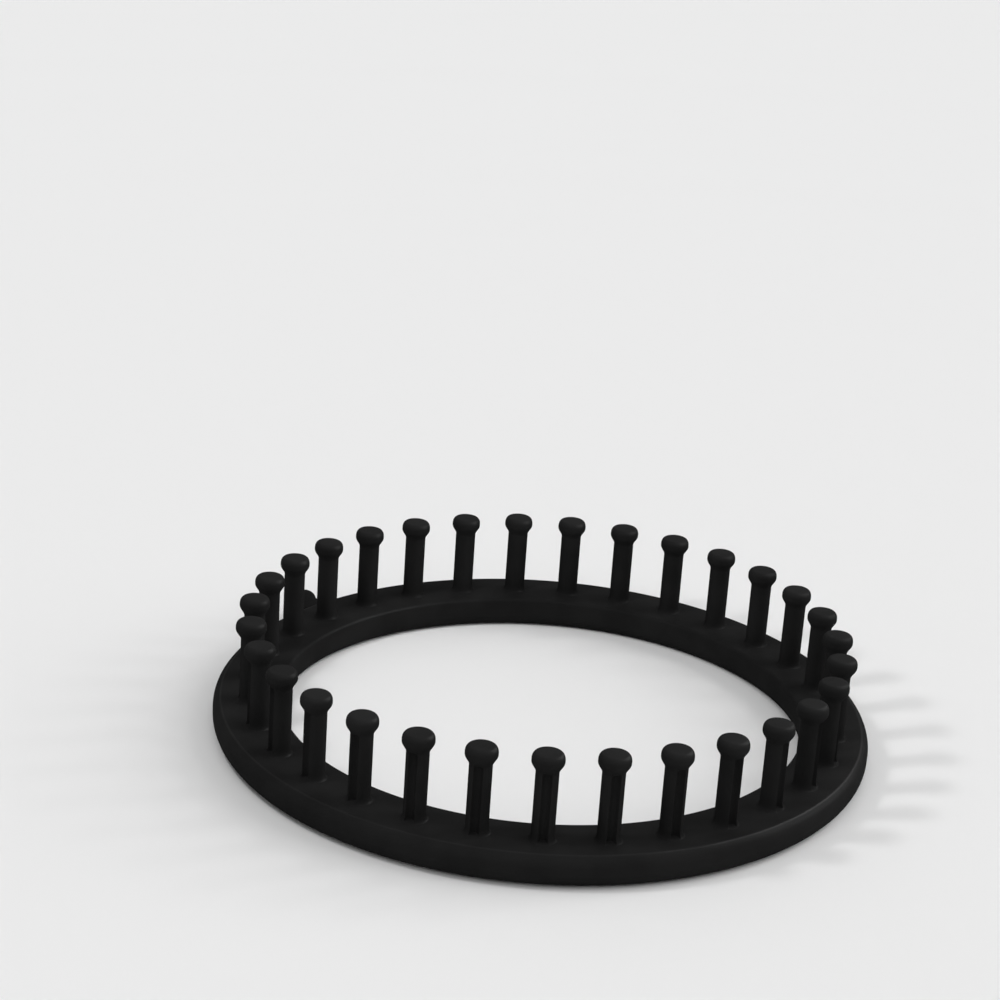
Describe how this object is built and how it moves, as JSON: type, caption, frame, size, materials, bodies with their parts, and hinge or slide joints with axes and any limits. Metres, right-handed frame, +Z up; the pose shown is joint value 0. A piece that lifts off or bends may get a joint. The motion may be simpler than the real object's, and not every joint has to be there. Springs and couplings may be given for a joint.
{
  "type": "round knitting loom",
  "caption": "Round knitting loom: a flat ring with rounded edges, a circle of upright mushroom-headed pegs with an outward groove, and a short anchor peg in its outer wall.",
  "frame": {"origin": "on the ring's axis, in the plane of the flat underside that the loom rests on", "axes": "+Z up along the ring's axis, -X towards peg_01; the pegs are numbered clockwise seen from above"},
  "size_m": [0.19, 0.19, 0.0342],
  "materials": {
    "ring_plastic": "black moulded plastic with a fine satin grain",
    "peg_plastic": "black moulded plastic, satin, a little smoother than the ring"
  },
  "bodies": {
    "root": {"base_ring": "ring_plastic", "peg_01": "peg_plastic", "peg_02": "peg_plastic", "peg_03": "peg_plastic", "peg_04": "peg_plastic", "peg_05": "peg_plastic", "peg_06": "peg_plastic", "peg_07": "peg_plastic", "peg_08": "peg_plastic", "peg_09": "peg_plastic", "peg_10": "peg_plastic", "peg_11": "peg_plastic", "peg_12": "peg_plastic", "peg_13": "peg_plastic", "peg_14": "peg_plastic", "peg_15": "peg_plastic", "peg_16": "peg_plastic", "peg_17": "peg_plastic", "peg_18": "peg_plastic", "peg_19": "peg_plastic", "peg_20": "peg_plastic", "peg_21": "peg_plastic", "peg_22": "peg_plastic", "peg_23": "peg_plastic", "peg_24": "peg_plastic", "peg_25": "peg_plastic", "peg_26": "peg_plastic", "peg_27": "peg_plastic", "peg_28": "peg_plastic", "peg_29": "peg_plastic", "peg_30": "peg_plastic", "peg_31": "peg_plastic", "anchor_peg": "peg_plastic"}
  },
  "joints": []
}
